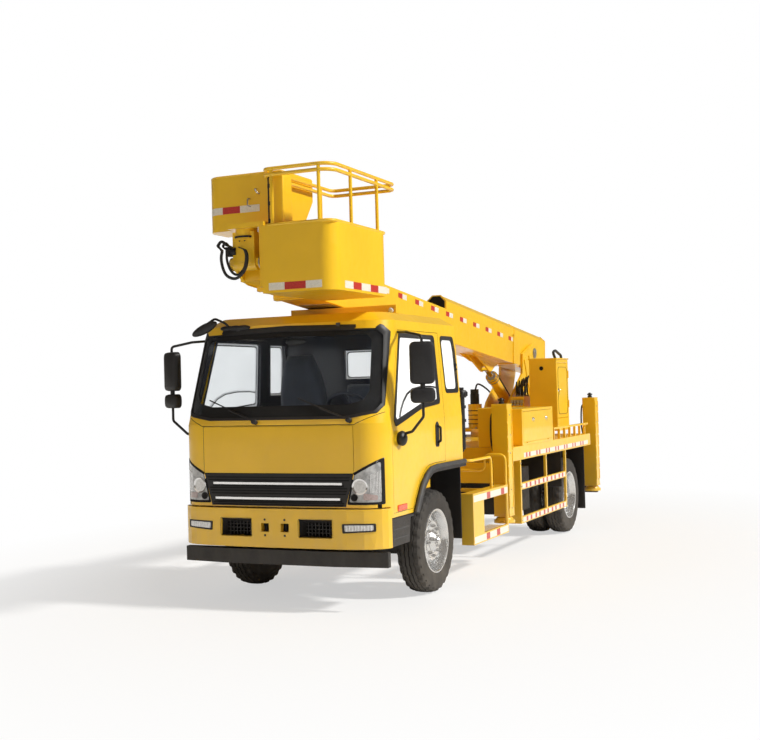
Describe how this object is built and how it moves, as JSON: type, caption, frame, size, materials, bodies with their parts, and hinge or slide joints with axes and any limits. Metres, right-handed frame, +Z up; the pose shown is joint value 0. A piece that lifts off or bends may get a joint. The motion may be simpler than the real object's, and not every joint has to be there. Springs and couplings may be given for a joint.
{
  "type": "cherry picker truck",
  "caption": "Two-axle cab-over truck with outriggers, slewing turret, telescopic boom and a levelled swinging basket that wraps round the boom head.",
  "frame": {"origin": "on the ground in the middle of the vehicle's overall box", "axes": "+Z up, the vehicle's front faces -Y and its left side is +X"},
  "size_m": [2.836, 8.7273, 3.88],
  "materials": {
    "yellow_paint": "gloss cab and body paint",
    "dark_paint": "satin black chassis paint",
    "silver_paint": "silver wheel paint",
    "tyre": "black rubber",
    "glass": "clear tinted",
    "lamp": "clear lamp lens",
    "black_plastic": "moulded black plastic",
    "grey_plastic": "grained dark grey plastic",
    "mirror_plastic": "black mirror housings",
    "seat_fabric": "dark grey woven seat cloth",
    "chrome_rod": "polished cylinder rod"
  },
  "bodies": {
    "truck": {"chassis_frame": "dark_paint", "deck_and_subframe": "yellow_paint", "front_axle_beam": "dark_paint", "rear_axle": "dark_paint", "leaf_springs": "dark_paint", "engine_and_gearbox": "dark_paint", "fuel_air_and_battery_boxes": "dark_paint", "cab_shell": "yellow_paint", "dashboard": "black_plastic", "seats": "seat_fabric", "cab_glass": "glass", "grille": "black_plastic", "headlamps": "lamp", "bumper": "yellow_paint", "mudguards": "black_plastic", "boom_rest": "yellow_paint", "side_guards": "yellow_paint", "toolboxes": "yellow_paint", "access_steps": "yellow_paint", "hydraulic_tank_and_valve_box": "yellow_paint"},
    "knuckle_left": {"steering_knuckle_left": "dark_paint"},
    "front_wheel_left": {"front_wheel_left": "silver_paint", "front_tyre_left": "tyre"},
    "rear_wheels_left": {"rear_wheels_left": "silver_paint", "rear_tyres_left": "tyre"},
    "door_left": {"door_left": "yellow_paint", "door_glass_left": "glass", "mirror_left": "mirror_plastic"},
    "toolbox_door_left": {"toolbox_door_left": "yellow_paint"},
    "knuckle_right": {"steering_knuckle_right": "dark_paint"},
    "front_wheel_right": {"front_wheel_right": "silver_paint", "front_tyre_right": "tyre"},
    "rear_wheels_right": {"rear_wheels_right": "silver_paint", "rear_tyres_right": "tyre"},
    "door_right": {"door_right": "yellow_paint", "door_glass_right": "glass", "mirror_right": "mirror_plastic"},
    "toolbox_door_right": {"toolbox_door_right": "yellow_paint"},
    "front_lid": {"front_lid": "yellow_paint"},
    "outrigger_front_left": {"outrigger_beam_front_left": "yellow_paint"},
    "jack_front_left": {"jack_leg_front_left": "yellow_paint"},
    "outrigger_front_right": {"outrigger_beam_front_right": "yellow_paint"},
    "jack_front_right": {"jack_leg_front_right": "yellow_paint"},
    "outrigger_rear_left": {"outrigger_beam_rear_left": "yellow_paint"},
    "jack_rear_left": {"jack_leg_rear_left": "yellow_paint"},
    "outrigger_rear_right": {"outrigger_beam_rear_right": "yellow_paint"},
    "jack_rear_right": {"jack_leg_rear_right": "yellow_paint"},
    "turret": {"turret": "yellow_paint", "control_cabinet": "yellow_paint"},
    "cabinet_door": {"cabinet_door": "yellow_paint"},
    "boom_base": {"boom_base": "yellow_paint"},
    "boom_middle": {"boom_middle": "yellow_paint"},
    "boom_tip": {"boom_tip": "yellow_paint"},
    "lift_cylinder_barrel": {"lift_cylinder_barrel": "yellow_paint"},
    "lift_cylinder_rod": {"lift_cylinder_rod": "chrome_rod"},
    "basket_yoke": {"basket_yoke": "yellow_paint"},
    "basket": {"basket": "yellow_paint", "basket_railing": "yellow_paint"}
  },
  "joints": [
    {"name": "steer_left", "type": "hinge", "parent": "truck", "child": "knuckle_left", "pos_m": [0.7, -2.58, 0.487], "axis": [0, 0, 1], "range_deg": [-32, 32]},
    {"name": "front_wheel_spin_left", "type": "hinge", "parent": "knuckle_left", "child": "front_wheel_left", "pos_m": [0.922, -2.58, 0.487], "axis": [1, 0, 0], "continuous": true},
    {"name": "rear_wheels_spin_left", "type": "hinge", "parent": "truck", "child": "rear_wheels_left", "pos_m": [0.942, 2.12, 0.487], "axis": [1, 0, 0], "continuous": true},
    {"name": "door_left_hinge", "type": "hinge", "parent": "truck", "child": "door_left", "pos_m": [1.034, -3.565, 1.5], "axis": [0, 0, -1], "range_deg": [0, 65]},
    {"name": "toolbox_door_left_hinge", "type": "hinge", "parent": "truck", "child": "toolbox_door_left", "pos_m": [1.15, 0.465, 1.29], "axis": [0, 1, 0], "range_deg": [0, 95]},
    {"name": "steer_right", "type": "hinge", "parent": "truck", "child": "knuckle_right", "pos_m": [-0.7, -2.58, 0.487], "axis": [0, 0, 1], "range_deg": [-32, 32]},
    {"name": "front_wheel_spin_right", "type": "hinge", "parent": "knuckle_right", "child": "front_wheel_right", "pos_m": [-0.922, -2.58, 0.487], "axis": [1, 0, 0], "continuous": true},
    {"name": "rear_wheels_spin_right", "type": "hinge", "parent": "truck", "child": "rear_wheels_right", "pos_m": [-0.942, 2.12, 0.487], "axis": [1, 0, 0], "continuous": true},
    {"name": "door_right_hinge", "type": "hinge", "parent": "truck", "child": "door_right", "pos_m": [-1.034, -3.565, 1.5], "axis": [0, 0, 1], "range_deg": [0, 65]},
    {"name": "toolbox_door_right_hinge", "type": "hinge", "parent": "truck", "child": "toolbox_door_right", "pos_m": [-1.15, 0.465, 1.29], "axis": [0, -1, 0], "range_deg": [0, 95]},
    {"name": "front_lid_hinge", "type": "hinge", "parent": "truck", "child": "front_lid", "pos_m": [0, -3.826, 1.634], "axis": [-1, 0, 0], "range_deg": [0, 80]},
    {"name": "outrigger_front_left_slide", "type": "slide", "parent": "truck", "child": "outrigger_front_left", "axis": [1, 0, 0], "range_m": [0, 0.62]},
    {"name": "jack_front_left_slide", "type": "slide", "parent": "outrigger_front_left", "child": "jack_front_left", "axis": [0, 0, -1], "range_m": [0, 0.43]},
    {"name": "outrigger_front_right_slide", "type": "slide", "parent": "truck", "child": "outrigger_front_right", "axis": [-1, 0, 0], "range_m": [0, 0.62]},
    {"name": "jack_front_right_slide", "type": "slide", "parent": "outrigger_front_right", "child": "jack_front_right", "axis": [0, 0, -1], "range_m": [0, 0.43]},
    {"name": "outrigger_rear_left_slide", "type": "slide", "parent": "truck", "child": "outrigger_rear_left", "axis": [1, 0, 0], "range_m": [0, 0.62]},
    {"name": "jack_rear_left_slide", "type": "slide", "parent": "outrigger_rear_left", "child": "jack_rear_left", "axis": [0, 0, -1], "range_m": [0, 0.43]},
    {"name": "outrigger_rear_right_slide", "type": "slide", "parent": "truck", "child": "outrigger_rear_right", "axis": [-1, 0, 0], "range_m": [0, 0.62]},
    {"name": "jack_rear_right_slide", "type": "slide", "parent": "outrigger_rear_right", "child": "jack_rear_right", "axis": [0, 0, -1], "range_m": [0, 0.43]},
    {"name": "slew", "type": "hinge", "parent": "truck", "child": "turret", "pos_m": [0, 2.47, 1.32], "axis": [0, 0, 1], "continuous": true},
    {"name": "cabinet_door_hinge", "type": "hinge", "parent": "turret", "child": "cabinet_door", "pos_m": [0.902, 2.755, 1.8], "axis": [0, 0, 1], "range_deg": [0, 100]},
    {"name": "boom_luff", "type": "hinge", "parent": "turret", "child": "boom_base", "pos_m": [0, 3.62, 2.4], "axis": [-1, 0, 0], "range_deg": [0, 75]},
    {"name": "boom_extend", "type": "slide", "parent": "boom_base", "child": "boom_middle", "axis": [0, -0.9956, 0.0941], "range_m": [0, 4.6]},
    {"name": "boom_tip_extend", "type": "slide", "parent": "boom_middle", "child": "boom_tip", "axis": [0, -0.9956, 0.0941], "range_m": [0, 4.6]},
    {"name": "cylinder_swing", "type": "hinge", "parent": "turret", "child": "lift_cylinder_barrel", "pos_m": [0, 3.29, 1.45], "axis": [-1, 0, 0], "range_deg": [0, 54.56]},
    {"name": "cylinder_stroke", "type": "slide", "parent": "lift_cylinder_barrel", "child": "lift_cylinder_rod", "axis": [0, -0.8726, 0.4884], "range_m": [0, 0.995]},
    {"name": "basket_level", "type": "hinge", "parent": "boom_tip", "child": "basket_yoke", "pos_m": [0, -4.22312, 3.05551], "axis": [-1, 0, 0], "range_deg": [-75, 0]},
    {"name": "basket_swing", "type": "hinge", "parent": "basket_yoke", "child": "basket", "pos_m": [0, -4.22312, 3.362], "axis": [0, 0, 1], "range_deg": [-90, 0]}
  ],
  "couplings": [
    {"joint": "steer_right", "follows": "steer_left", "ratio": 1},
    {"joint": "boom_tip_extend", "follows": "boom_extend", "ratio": 1},
    {"joint": "cylinder_swing", "follows": "boom_luff", "ratio": 0.72074},
    {"joint": "cylinder_stroke", "follows": "boom_luff", "m_per_rad": 0.75862},
    {"joint": "basket_level", "follows": "boom_luff", "ratio": -1}
  ]
}
